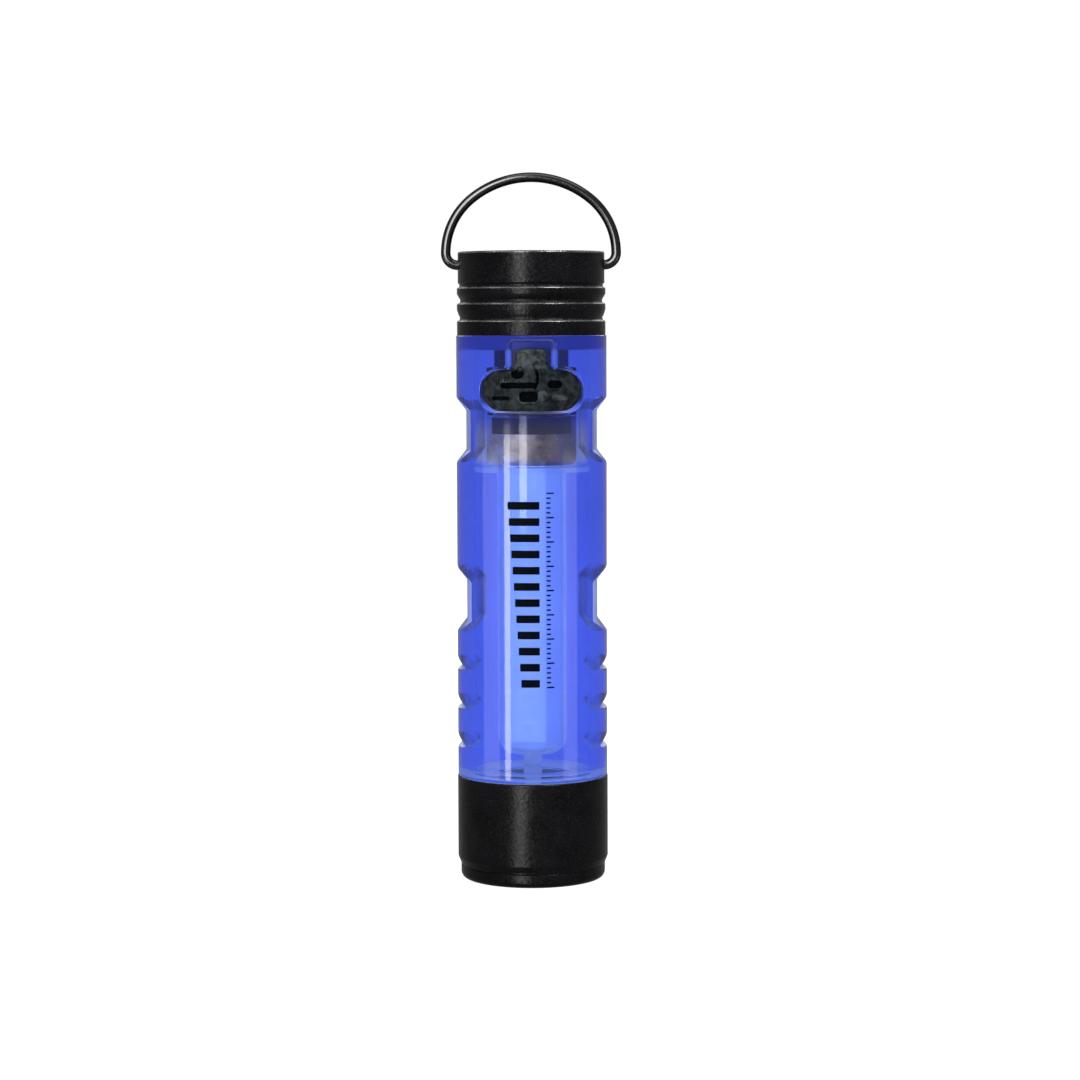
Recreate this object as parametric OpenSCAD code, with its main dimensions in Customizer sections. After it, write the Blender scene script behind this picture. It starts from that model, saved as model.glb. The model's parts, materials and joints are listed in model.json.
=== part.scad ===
// Keychain flashlight: clear blue tube, black lamp head below, finned tail cap with a wire bail above.
// Millimetres. Origin at the centre of the lens end, +Z towards the tail cap, port cover faces -Y.

/* [Overall] */
// Length of the body from lens end to tail end, without the bail
body_length = 64.5; // [63:0.5:70]
// Outside diameter of the clear tube
tube_dia = 15.4; // [15.3:0.1:15.6]
// Diameter of the tube's bore
bore_dia = 12; // [11.9:0.1:12.1]

/* [Lamp head] */
// Outside diameter of the lamp head
head_dia = 15.5; // [15.4:0.1:16]
// Height of the lamp head, bezel lip included
head_height = 10.7; // [10.5:0.1:11.5]
// Outside diameter of the bezel lip
bezel_dia = 14.9; // [14.8:0.05:15]
// Diameter of the opening the light comes out of
lamp_opening = 11; // [10:0.5:11.4]

/* [Tube] */
// Depth of the finger scallops on the two sides
scallop_depth = 1; // [0.6:0.1:1.1]
// Length of the flat floor of a scallop
scallop_floor = 4; // [3:0.5:4.5]
// Depth of the sawtooth grip notches
notch_depth = 0.58; // [0.3:0.02:0.8]
// Distance from one grip notch to the next
notch_pitch = 4; // [3:0.25:4.25]
// Number of grip notches on each side
notch_count = 3; // [1:1:3]

/* [Tail cap] */
// Height of the tail cap above the tube
cap_height = 8.5; // [8.5:0.1:9.5]
// Diameter over the rings of the tail cap
cap_ring_dia = 15.2; // [15.1:0.1:15.4]
// Diameter of the smooth band at the top of the tail cap
cap_band_dia = 15; // [14.9:0.05:15]
// Diameter of the tail button
button_dia = 8.24; // [8:0.04:8.32]
// How far the tail button is pressed in
button_travel = 0.5; // [0.2:0.1:0.5]

/* [Bail] */
// Thickness of the bail wire
wire_dia = 1; // [0.8:0.1:1]
// Width of the bail between the wire's centre lines
bail_width = 17.42; // [17.42:0.1:18.4]
// Height of the bail arch above its widest point, to the centre line
bail_rise = 7.71; // [7.5:0.1:8]

/* [Port cover] */
// Width of the port cover
cover_width = 10.05; // [9.8:0.05:10.2]
// Height of the port cover
cover_height = 4.1; // [3.9:0.05:4.2]
// Width of the cover's fixed tab
tab_width = 3.15; // [2.6:0.05:3.4]

/* [Hidden] */
$fn = 96;
eps = 0.02;              // how far cutters run past a face
running = 0.05;          // radial clearance of a pin in its hole
tube_r = tube_dia / 2;
bore_r = bore_dia / 2;
head_r = head_dia / 2;
tube_top = body_length - cap_height;

// Lamp head, from the lens up
bezel_lip = 1.4;         // height of the bezel lip
bezel_r = bezel_dia / 2;
bezel_round = 0.9;       // rounding of the lip's bottom edge
head_bevel = 2.3;        // where the head's bottom bevel ends
collar_r = 6.75;         // bezel collar inside the head
collar_top = 3.2;
lens_r = 6.15;
lens_low = 0.8;
lens_high = 2;
seal_r = 0.4;            // thickness radius of the lens seal
reflector_low = lens_high + 2 * seal_r;
board_low = 7;           // underside of the lamp board
board_high = 8;
board_r = 6.45;
package_half = 1.75;     // half width of the lamp's square package
spigot_r = 6.6;          // tube end inside the head
spigot_bore = 5.4;
floor_thick = 0.6;       // thickness of the tube's floor
floor_high = head_height + floor_thick;  // top of the tube's floor
floor_hole = 3.75;

// Light chamber, cell and boards, from the tube's top down
port_z = tube_top - 5.52;      // middle of the charging port
cell_top = port_z - 2.18;
cell_height = 5.5;
cell_r = 4.6;
cell_low = cell_top - cell_height;
tab_metal = 0.15;              // thickness of the cell's contact strips
flange_high = cell_low - tab_metal;
flange_thick = 0.5;
chamber_low = 13;
chamber_r = 3.55;
chamber_wall = 0.55;
chamber_round = 1.7;
board_y = 1;                   // front face of the main board
board_thick = 0.8;
board_half = 3.9;
flex = 0.12;                   // thickness of the flexible circuits

// Tail cap
cap_band_low = tube_top + 5.3;
neck_low = tube_top - 1.45;
neck_r = bore_r - 0.15;
cap_bore = 5;                  // wide lower bore
cap_bore_top = 4.75;           // narrow upper bore
cap_shoulder = tube_top + 2.6; // underside of the shoulder the switch board rests on
plate_low = body_length - 1.6; // underside of the end plate
button_r = button_dia / 2;
flange_r = 4.6;                // button flange under the end plate
pivot_z = body_length - 1.35;
switch_low = cap_shoulder;
well = 0.8;                    // height of the floor inside the switch housing

// Bail arcs
bail_a = bail_width / 2;
bail_end_bend = 1.2;           // radius of the bend into the cap
bail_wide_z = pivot_z + bail_end_bend;
bail_top_r = 9.6;
bail_side_r = (bail_a * bail_a + bail_rise * bail_rise - 2 * bail_rise * bail_top_r)
            / (2 * (bail_a - bail_top_r));
bail_top_z = bail_wide_z + bail_rise - bail_top_r;
bail_side_x = bail_a - bail_side_r;
bail_meet = atan2(bail_side_x, bail_wide_z - bail_top_z);
bail_leg_in = 5.7;             // where the wire ends inside the cap

// Port cover
floor_r = 6.85;                // pocket floor, measured from the tube's axis
cover_gap = 0.14;              // gap round the cover
hinge_z = port_z + 2.8;
tab_top = tube_top - 1.33;
plug_reach = 4.45;             // the plug stays inside this radius about the hinge
port_hole = [9.04, 3.36];
shell_size = [8.94, 3.26];
shell_mouth = [8.34, 2.56];
shell_front = -5.12;

// ---- shared shapes ----

module disc(r, low, high) {
    translate([0, 0, low]) cylinder(r = r, h = high - low);
}

module tube_ring(outer, inner, low, high) {
    difference() {
        disc(outer, low, high);
        disc(inner, low - eps, high + eps);
    }
}

module seal(mid_r, thick_r, z) {
    translate([0, 0, z]) rotate_extrude() translate([mid_r, 0]) circle(r = thick_r, $fn = 32);
}

// A block from corner to corner
module block(from, to) {
    translate(from) cube(to - from);
}

module stadium(size) {
    square([size[0] - size[1], size[1]], center = true);
    for (side = [-1, 1]) translate([side * (size[0] - size[1]) / 2, 0]) circle(d = size[1]);
}

module rounded_rect(size, r) {
    square([size[0] - 2 * r, size[1]], center = true);
    square([size[0], size[1] - 2 * r], center = true);
    for (x = [-1, 1], y = [-1, 1])
        translate([x * (size[0] / 2 - r), y * (size[1] / 2 - r)]) circle(r = r);
}

// Extrudes a front-view outline from y = from to y = to; the outline is drawn about height z
module front(from, to, z = 0) {
    translate([0, to, z]) rotate([90, 0, 0]) linear_extrude(to - from) children();
}

// ---- lamp head ----

module bezel_ring() {
    color([0.06, 0.06, 0.065]) difference() {
        union() {
            rotate_extrude() intersection() {
                square([bezel_r, bezel_lip]);
                union() {
                    square([bezel_r - bezel_round, bezel_lip]);
                    translate([0, bezel_round]) square([bezel_r, bezel_lip]);
                    translate([bezel_r - bezel_round, bezel_round]) circle(r = bezel_round);
                }
            }
            disc(collar_r, bezel_lip - eps, collar_top);
        }
        disc(lamp_opening / 2, -eps, lens_low + eps);
        disc(lens_r + 0.02, lens_low, collar_top + eps);
        translate([0, 0, -eps]) cylinder(r1 = lamp_opening / 2 + 0.4, r2 = lamp_opening / 2, h = 0.4);
        for (side = [-1, 1]) translate([side * 6.4, 0, -eps]) cylinder(r = 0.35, h = 0.5 + eps);
    }
}

module front_lens() {
    color([0.85, 0.92, 0.95, 0.4]) disc(lens_r, lens_low, lens_high);
}

module lens_seal() {
    color([0.1, 0.1, 0.1]) seal(5.73, seal_r, lens_high + seal_r);
}

module reflector() {
    color([0.85, 0.85, 0.87]) difference() {
        disc(6.1, reflector_low, board_low);
        rotate_extrude() polygon([[0, reflector_low - eps], [5.5, reflector_low - eps],
            [5.3, 3.2], [4.7, 4.1], [3.9, 5], [2.95, 5.8], [2.6, 6.05], [2.6, board_low + eps],
            [0, board_low + eps]]);
    }
}

module lamp_board() {
    color([0.93, 0.93, 0.9]) difference() {
        disc(board_r, board_low, board_high);
        for (side = [-1, 1]) translate([side * 5.6, 0, board_low - eps]) cylinder(r = 0.45, h = 1.1);
    }
}

module lamp_package() {
    color([0.95, 0.95, 0.9]) block([-package_half, -package_half, board_low - 0.6],
        [package_half, package_half, board_low]);
}

module lamp_dome() {
    color([1, 0.9, 0.45]) intersection() {
        translate([0, 0, board_low - 0.6]) sphere(r = 1.3);
        disc(1.4, board_low - 2.2, board_low - 0.6);
    }
}

module lantern_led() {
    color([1, 0.92, 0.6]) block([-1.4, -1.4, board_high], [1.4, 1.4, board_high + 0.75]);
}

module lamp_head() {
    color([0.05, 0.05, 0.055]) difference() {
        union() {
            disc(head_r, head_bevel, head_height);
            translate([0, 0, bezel_lip])
                cylinder(r1 = bezel_r, r2 = head_r, h = head_bevel - bezel_lip);
        }
        disc(collar_r + 0.02, bezel_lip - eps, collar_top + 0.2);
        disc(6.2, collar_top, board_low + eps);
        disc(board_r + 0.05, board_low, board_high + eps);
        disc(spigot_r + 0.1, board_high, head_height + eps);
    }
}

module head_seal() {
    color([0.1, 0.1, 0.1]) seal(6.45, 0.25, 9.5);
}

// ---- clear tube ----

// Cuts the two sides; profile is drawn as distance in from the tube's surface
module side_cuts() {
    swing = 13;  // the cutter turns about an axis this far beyond the tube's own
    for (side = [0, 1]) mirror([side, 0, 0]) translate([-swing, 0, 0])
        rotate_extrude() translate([swing + tube_r, 0]) children();
}

module scallop_profile(z) {
    run = 1.3;    // height of the sloping end for each unit of depth
    out = 1.5;    // how far the profile is carried past the surface
    half = scallop_floor / 2;
    polygon([[-scallop_depth, z - half], [out, z - half - run * (scallop_depth + out)],
        [out, z + half + run * (scallop_depth + out)], [-scallop_depth, z + half]]);
}

module notch_profile(z) {
    above = 1.75;  // height of the long slope for each unit of depth
    below = 0.5;   // height of the steep wall for each unit of depth
    out = 0.6;
    polygon([[-notch_depth, z], [out, z - below * (notch_depth + out)],
        [out, z + above * (notch_depth + out)]]);
}

module cover_pocket() {
    lower = 1.7;   // corner radius of the pocket's lower corners
    wide = cover_width + 2 * cover_gap;
    high = cover_height + 2 * cover_gap;
    difference() {
        union() {
            front(-9, 0, port_z) stadium([wide, high]);
            intersection() {
                front(-9, 0, port_z) rounded_rect([wide, high], lower);
                block([-9, -9, port_z - 3], [9, 0, port_z]);
            }
            front(-9, 0, tube_top - 2.4) rounded_rect([4.95, 4], 0.6);
            block([-2.475, -9, port_z + 1.4], [2.475, 0, tube_top - 2]);
        }
        disc(floor_r, port_z - 4, body_length);
    }
}

module body_tube() {
    color([0.2, 0.32, 0.9, 0.6]) difference() {
        union() {
            disc(tube_r, head_height, tube_top);
            disc(spigot_r, board_high, head_height + eps);
        }
        difference() {
            disc(bore_r, floor_high, tube_top + eps);
            block([-5, -7, port_z - 2.4], [5, -4.4, port_z + 2.2]);
        }
        disc(floor_hole, board_high, floor_high + eps);
        disc(spigot_bore, board_high - eps, head_height);
        block([-1.2, 0, head_height - eps], [1.2, 4.2, floor_high + eps]);
        tube_ring(7, 6.2, 9.25, 9.75);
        side_cuts() {
            scallop_profile(tube_top - 9.65);
            scallop_profile(29);
            for (i = [0 : notch_count - 1]) notch_profile(14 + i * notch_pitch);
        }
        cover_pocket();
        front(-9, 0, port_z) stadium(port_hole);
        translate([0, -bore_r + 0.5, tab_top - 1.07]) rotate([90, 0, 0]) cylinder(r = 0.55, h = 3);
    }
}

module light_chamber() {
    module shape(r, low, high, round) {
        translate([0, 0, low]) rotate_extrude() {
            square([r - round, high - low]);
            translate([0, round]) square([r, high - low - round]);
            translate([r - round, round]) circle(r = round);
        }
    }
    color([0.85, 0.9, 1, 0.5]) difference() {
        union() {
            shape(chamber_r, chamber_low, flange_high, chamber_round);
            disc(bore_r - 0.05, flange_high - flange_thick, flange_high);
        }
        shape(chamber_r - chamber_wall, chamber_low + chamber_wall, flange_high + 1,
            chamber_round - chamber_wall);
        block([-1.2, 4.8, flange_high - 1], [1.2, 7, flange_high + eps]);
    }
}

module lantern_strip() {
    color([0.96, 0.93, 0.78]) block([-2.3, 0.6, chamber_low + 0.9], [1.4, 1.1, flange_high]);
}

module lamp_flex() {
    out = 4.98;   // outer run, past the cell
    in = 3.75;    // inner run, beside the chamber
    step = flange_high - flange_thick - 0.4;
    color([0.75, 0.5, 0.2]) {
        block([-1, 2, board_high], [1, in + flex, board_high + flex]);
        block([-1, in, board_high], [1, in + flex, step + flex]);
        block([-1, in, step], [1, out + flex, step + flex]);
        block([-1, out, step], [1, out + flex, port_z - 0.6]);
        block([-1, board_y + board_thick, port_z - 0.6 - flex], [1, out + flex, port_z - 0.6]);
    }
}

// ---- cell and charging parts ----

module battery_cell() {
    round = 0.5;
    color([0.78, 0.75, 0.7]) difference() {
        translate([0, 0, cell_low]) rotate_extrude() {
            square([cell_r - round, cell_height - 0.1]);
            translate([0, round]) square([cell_r, cell_height - 2 * round - 0.1]);
            for (z = [round, cell_height - round - 0.1])
                translate([cell_r - round, z]) circle(r = round);
            square([3.6, cell_height]);
        }
        tube_ring(4, 3.6, cell_top - 0.6, cell_top + eps);
    }
}

module cell_gasket() {
    color([0.15, 0.16, 0.2]) tube_ring(4, 3.6, cell_top - 0.6, cell_top - 0.06);
}

module cell_insulator() {
    color([0.06, 0.06, 0.12]) intersection() {
        tube_ring(cell_r + 0.1, cell_r, cell_top - 2.3, cell_top - 0.62);
        block([-3.85, -6, cell_low], [3.85, 0, cell_top + 1]);
    }
}

module plus_strip() {
    back = board_y + board_thick;
    color([0.8, 0.8, 0.78]) {
        block([-1.5, -2, cell_top], [1.5, back + tab_metal, cell_top + tab_metal]);
        block([-1.5, back, cell_top], [1.5, back + tab_metal, cell_top + 0.9]);
    }
}

module minus_strip() {
    out = 4.7;
    back = board_y + board_thick;
    color([0.8, 0.8, 0.78]) {
        block([-1.5, -1.5, flange_high], [1.5, out + tab_metal, cell_low]);
        block([-1.5, out, flange_high], [1.5, out + tab_metal, cell_top + 1.2]);
        block([-1.5, back, cell_top + 1.05], [1.5, out + tab_metal, cell_top + 1.2]);
    }
}

module main_board() {
    color([0.05, 0.09, 0.12]) block([-board_half, board_y, cell_top + tab_metal],
        [board_half, board_y + board_thick, tube_top + 0.6]);
}

module charger_chip() {
    color([0.08, 0.08, 0.08]) block([-3.2, 0.3, port_z + 2.3], [-0.8, board_y, port_z + 4.7]);
}

module power_coil() {
    back = board_y + board_thick;
    color([0.2, 0.2, 0.22]) block([-1.5, back, port_z + 0.8], [1.5, back + 1.5, port_z + 3.8]);
}

module charge_led() {
    color([0.9, 0.95, 0.8]) block([2.1, 0.4, port_z + 2.5], [2.9, board_y, port_z + 4.1]);
}

module port_shell() {
    color([0.75, 0.76, 0.78]) difference() {
        front(shell_front, board_y, port_z) stadium(shell_size);
        front(shell_front - 1, board_y - 0.3, port_z) stadium(shell_mouth);
    }
}

module port_tongue() {
    color([0.1, 0.1, 0.1]) front(shell_front + 0.6, board_y - 0.3, port_z)
        rounded_rect([6.69, 0.7], 0.3);
}

// ---- tail cap ----

module groove(bottom, low, high, top, r) {
    past = 0.4;  // how far the cutter runs outside the rings
    rings = cap_ring_dia / 2;
    up = past * (top - high) / (rings - r);
    down = past * (low - bottom) / (rings - r);
    translate([0, 0, tube_top]) rotate_extrude()
        polygon([[r, low], [r, high], [rings + past, top + up], [rings + past, bottom - down]]);
}

module tail_cap() {
    band_r = cap_band_dia / 2;
    edge = 0.15;
    color([0.04, 0.04, 0.045]) difference() {
        union() {
            disc(cap_ring_dia / 2, tube_top, cap_band_low);
            disc(band_r, cap_band_low - eps, body_length - edge);
            translate([0, 0, body_length - edge]) cylinder(r1 = band_r, r2 = band_r - edge, h = edge);
            disc(neck_r, neck_low, tube_top + eps);
        }
        groove(1.52, 1.62, 1.78, 2.58, 7.3);
        groove(3.27, 3.37, 3.58, 4.2, 7.25);
        groove(4.87, 4.96, 5.12, 5.3, 7.33);
        tube_ring(bore_r, 5.4, neck_low + 0.45, neck_low + 1.05);
        disc(cap_bore, neck_low - eps, cap_shoulder);
        disc(cap_bore_top, cap_shoulder - eps, plate_low);
        disc(button_r + 0.08, plate_low - eps, body_length + eps);
        for (side = [0, 180]) rotate([0, 90, side]) translate([-pivot_z, 0, bail_leg_in - 0.1])
            cylinder(r = wire_dia / 2 + running, h = 3);
    }
}

module tail_seal() {
    color([0.1, 0.1, 0.1]) seal(bore_r - 0.3, 0.3, neck_low + 0.75);
}

module switch_ring() {
    color([0.7, 0.6, 0.35]) difference() {
        tube_ring(cap_bore, 3, tube_top + 0.6, cap_shoulder - 1);
        block([-6, -0.4, tube_top + 0.5], [6, 0.4, tube_top + 1.1]);
    }
}

module switch_board() {
    color([0.06, 0.16, 0.1]) disc(cap_bore - 0.05, cap_shoulder - 1, cap_shoulder);
}

module switch_housing() {
    color([0.12, 0.12, 0.12]) difference() {
        block([-2, -2, switch_low], [2, 2, switch_low + 2.2]);
        disc(1.1, switch_low + well, switch_low + 2.3);
    }
}

module switch_plunger() {
    color([0.85, 0.85, 0.8]) {
        disc(1, switch_low + well + button_travel + 0.1, plate_low - 0.6);
        disc(1.6, plate_low - 0.8, plate_low - 0.6);
    }
}

module tail_button() {
    face = body_length - 0.15;
    color([0.07, 0.07, 0.07]) difference() {
        union() {
            disc(button_r, plate_low - 0.4, face - 0.2);
            translate([0, 0, face - 0.2]) cylinder(r1 = button_r, r2 = button_r - 0.2, h = 0.2);
            disc(flange_r, plate_low - 0.6, plate_low - 0.02);
        }
        translate([0, 0, face + 11.5]) sphere(r = 11.95);
        tube_ring(3.6, 3.4, face - 0.25, face + eps);
    }
}

// ---- bail ----

// Bent wire lying in the XZ plane, turning from angle start for sweep degrees about (x, z)
module bend(x, z, r, start, sweep) {
    translate([x, 0, z]) rotate([90, 0, 0]) rotate([0, 0, start])
        rotate_extrude(angle = sweep) translate([r, 0]) circle(d = wire_dia, $fn = 32);
}

module bail_wire() {
    sleeve = 0.02;  // thickness of the short collars over the joints between arcs
    color([0.03, 0.03, 0.035]) {
        bend(0, bail_top_z, bail_top_r, 90 - bail_meet, 2 * bail_meet);
        for (side = [-1, 1]) translate([0, 0, bail_top_z]) rotate([0, side * bail_meet, 0])
            translate([0, 0, bail_top_r]) rotate([0, 90, 0])
                cylinder(d = wire_dia + 2 * sleeve, h = 0.3, center = true);
        for (side = [0, 1]) mirror([side, 0, 0]) {
            bend(bail_side_x, bail_wide_z, bail_side_r, 0, 90 - bail_meet);
            bend(bail_a - bail_end_bend, bail_wide_z, bail_end_bend, -90, 90);
            translate([bail_leg_in, 0, pivot_z]) rotate([0, 90, 0])
                cylinder(d = wire_dia, h = bail_a - bail_end_bend - bail_leg_in);
        }
    }
}

// ---- port cover ----

module cover_shell(inner, low, high) {
    intersection() {
        children();
        tube_ring(tube_r, inner, low, high);
    }
}

module cover_tab() {
    round = 0.7;
    color([0.14, 0.17, 0.16]) {
        cover_shell(floor_r, hinge_z, tube_top) front(-9, 0, hinge_z) union() {
            translate([-tab_width / 2, 0]) square([tab_width, tab_top - hinge_z - round]);
            translate([-tab_width / 2 + round, 0]) square([tab_width - 2 * round, tab_top - hinge_z]);
            for (side = [-1, 1])
                translate([side * (tab_width / 2 - round), tab_top - hinge_z - round])
                    circle(r = round);
        }
        translate([0, -5.9, tab_top - 1.07]) rotate([90, 0, 0]) cylinder(r = 0.5, h = 1.1);
        translate([0, -5.35, tab_top - 1.07]) rotate([90, 0, 0]) cylinder(r = 0.8, h = 0.6);
    }
}

module cover_flap() {
    lip = 7.25;     // the flap steps in below this radius
    inset = 0.8;    // how much smaller the inner step is
    neck = hinge_z - port_z;
    fillet = 0.75;
    color([0.1, 0.13, 0.12]) difference() {
        union() {
            cover_shell(lip, port_z - 4, hinge_z - eps) front(-9, 0, port_z) {
                stadium([cover_width, cover_height]);
                translate([-tab_width / 2, 0]) square([tab_width, neck]);
                difference() {
                    translate([-tab_width / 2 - fillet, 0]) square([tab_width + 2 * fillet, neck]);
                    for (side = [-1, 1]) translate([side * (tab_width / 2 + fillet), neck])
                        circle(r = fillet);
                }
            }
            cover_shell(floor_r + 0.1, port_z - 4, hinge_z - eps) front(-9, 0, port_z) {
                stadium([cover_width - inset, cover_height - inset]);
                translate([-tab_width / 2, 0]) square([tab_width, neck]);
            }
            intersection() {
                front(-7, shell_front - 0.08, port_z) stadium([8.74, 3.06]);
                translate([-6, -tube_r, hinge_z]) rotate([0, 90, 0]) cylinder(r = plug_reach, h = 12);
            }
        }
        cover_shell(7.45, port_z - 4, hinge_z) front(-9, 0, port_z) {
            translate([-1.3, 0.1]) stadium([3.8, 0.5]);
            translate([2.6, 0.1]) circle(r = 0.55);
            translate([0.1, -1.2]) stadium([1.8, 0.8]);
        }
    }
}

bezel_ring();
front_lens();
lens_seal();
reflector();
lamp_board();
lamp_package();
lamp_dome();
lantern_led();
lamp_head();
head_seal();
body_tube();
light_chamber();
lantern_strip();
lamp_flex();
battery_cell();
cell_gasket();
cell_insulator();
plus_strip();
minus_strip();
main_board();
charger_chip();
power_coil();
charge_led();
port_shell();
port_tongue();
tail_cap();
tail_seal();
switch_ring();
switch_board();
switch_housing();
switch_plunger();
tail_button();
bail_wire();
cover_tab();
cover_flap();
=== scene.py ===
import json
import math

import bmesh
import bpy
import numpy as np
from mathutils import Matrix, Vector


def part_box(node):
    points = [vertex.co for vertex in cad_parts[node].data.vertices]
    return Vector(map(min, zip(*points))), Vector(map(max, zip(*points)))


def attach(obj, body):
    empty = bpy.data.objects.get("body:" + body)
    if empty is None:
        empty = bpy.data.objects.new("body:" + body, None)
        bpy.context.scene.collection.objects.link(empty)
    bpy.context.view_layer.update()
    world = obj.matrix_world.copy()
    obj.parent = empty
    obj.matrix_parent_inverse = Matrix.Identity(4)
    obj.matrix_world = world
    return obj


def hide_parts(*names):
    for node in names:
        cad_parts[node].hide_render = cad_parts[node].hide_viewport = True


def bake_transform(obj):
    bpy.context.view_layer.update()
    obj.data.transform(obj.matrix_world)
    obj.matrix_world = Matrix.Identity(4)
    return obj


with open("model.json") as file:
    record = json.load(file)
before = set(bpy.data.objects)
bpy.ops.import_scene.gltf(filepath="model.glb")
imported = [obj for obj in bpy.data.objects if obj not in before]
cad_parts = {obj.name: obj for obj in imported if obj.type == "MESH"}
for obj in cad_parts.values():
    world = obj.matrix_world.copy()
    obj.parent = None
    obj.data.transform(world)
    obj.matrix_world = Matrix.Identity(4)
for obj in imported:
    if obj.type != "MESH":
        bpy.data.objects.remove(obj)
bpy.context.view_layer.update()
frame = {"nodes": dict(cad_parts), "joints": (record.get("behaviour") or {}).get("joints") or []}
MM = 0.001


# ---------------------------------------------------------------- sizes, in millimetres
def span(node):
    """The lowest and the highest corner of a CAD node's box."""
    lo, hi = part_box(node)
    return [v / MM for v in lo], [v / MM for v in hi]


tube_lo, tube_hi = span("body_tube")
head_hi = span("lamp_head")[1]
cap_lo, cap_hi = span("tail_cap")
bezel_hi = span("bezel_ring")[1]
shell_lo, shell_hi = span("port_shell")
cell_lo, cell_hi = span("battery_cell")
TUBE_R, TUBE_TOP = tube_hi[0], tube_hi[2]
HEAD_R, HEAD_TOP = head_hi[0], head_hi[2]
BODY_TOP = cap_hi[2]
TAB_TOP = span("cover_tab")[1][2]
PORT_Z = (shell_lo[2] + shell_hi[2]) / 2
PIVOT_Z = frame["joints"][0]["pos_m"][2] / MM
# heights between which the tube's front wall is almost clear
CLEAR_LOW, CLEAR_HIGH = cell_lo[2], cell_hi[2] - 1.8
# CAD sizes that no node's box gives: bore, floor, pocket's floor, port hole, the flat pad behind
# it, and the cover's hinge
BORE_R = 6.0
FLOOR_THICK = 0.6
FLOOR_R = 6.85
HOLE = (9.04, 3.36)
PAD_Y = 4.4
HINGE_Z = PORT_Z + 2.8
# gap kept between the tube's skin and the black parts it touches
SEAM = 0.012


# ---------------------------------------------------------------- mesh helpers
def make_object(name, verts_mm, faces, material, body="body"):
    """A smooth-shaded piece that rides on a body, if one is named."""
    mesh = bpy.data.meshes.new(name)
    mesh.from_pydata([tuple(c * MM for c in v) for v in verts_mm], [], faces)
    mesh.validate()
    bm = bmesh.new()
    bm.from_mesh(mesh)
    bmesh.ops.recalc_face_normals(bm, faces=bm.faces)
    bm.to_mesh(mesh)
    bm.free()
    mesh.polygons.foreach_set("use_smooth", [True] * len(mesh.polygons))
    mesh.materials.append(material)
    obj = bpy.data.objects.new(name, mesh)
    bpy.context.scene.collection.objects.link(obj)
    if body:
        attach(obj, body)
    return obj


def rounded(points, radii, steps=5):
    """A closed outline with each corner rounded by its radius."""
    out = []
    count = len(points)
    for i, (point, r) in enumerate(zip(points, radii)):
        p = Vector(point)
        a, b = Vector(points[i - 1]) - p, Vector(points[(i + 1) % count]) - p
        if r <= 0:
            out.append(tuple(p))
            continue
        half = a.angle(b) / 2
        cut = min(r / math.tan(half), a.length * 0.49, b.length * 0.49)
        start, end = p + a.normalized() * cut, p + b.normalized() * cut
        r = cut * math.tan(half)
        centre = p + (a.normalized() + b.normalized()).normalized() * (r / math.sin(half))
        u, v = start - centre, end - centre
        turn = u.angle(v)
        for k in range(steps + 1):
            t = k / steps
            w = (math.sin((1 - t) * turn) * u + math.sin(t * turn) * v) / math.sin(turn)
            out.append(tuple(centre + w))
    return out


def lathe(name, outline, material, body="body", turns=160, axis_closed=False):
    """Turns a closed outline of (radius, height) about the Z axis."""
    verts, faces = [], []
    n = len(outline)
    for s in range(turns):
        a = 2 * math.pi * s / turns
        for r, z in outline:
            verts.append((r * math.cos(a), r * math.sin(a), z))
    for s in range(turns):
        t = (s + 1) % turns
        for i in range(n):
            j = (i + 1) % n
            if axis_closed and outline[i][0] < 1e-6 and outline[j][0] < 1e-6:
                continue
            faces.append((s * n + i, t * n + i, t * n + j, s * n + j))
    obj = make_object(name, verts, faces, material, None)
    bm = bmesh.new()
    bm.from_mesh(obj.data)
    bmesh.ops.remove_doubles(bm, verts=bm.verts, dist=1e-7)
    bmesh.ops.recalc_face_normals(bm, faces=bm.faces)
    bm.to_mesh(obj.data)
    bm.free()
    if body:
        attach(obj, body)
    return obj


def sweep(name, path, radius, material, body, sides):
    """A round wire along a path of points that lie in the XZ plane."""
    verts, faces = [], []
    n = len(path)
    for i, p in enumerate(path):
        here = Vector(path[min(i + 1, n - 1)]) - Vector(path[max(i - 1, 0)])
        here.normalize()
        across = Vector((0, 1, 0))
        up = here.cross(across)
        for k in range(sides):
            a = 2 * math.pi * k / sides
            verts.append(tuple(Vector(p) + radius * (math.cos(a) * across + math.sin(a) * up)))
    for i in range(n - 1):
        for k in range(sides):
            m = (k + 1) % sides
            faces.append((i * sides + k, i * sides + m, (i + 1) * sides + m, (i + 1) * sides + k))
    faces.append(tuple(range(sides)))
    faces.append(tuple((n - 1) * sides + k for k in range(sides)))
    return make_object(name, verts, faces, material, body)


def cut(obj, cutter):
    """Takes the cutter's shape out of the object."""
    change = obj.modifiers.new("cut", "BOOLEAN")
    change.operation = "DIFFERENCE"
    change.solver = "EXACT"
    change.object = cutter
    graph = bpy.context.evaluated_depsgraph_get()
    mesh = bpy.data.meshes.new_from_object(obj.evaluated_get(graph))
    obj.modifiers.clear()
    obj.data = mesh
    bpy.data.objects.remove(cutter)


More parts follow.
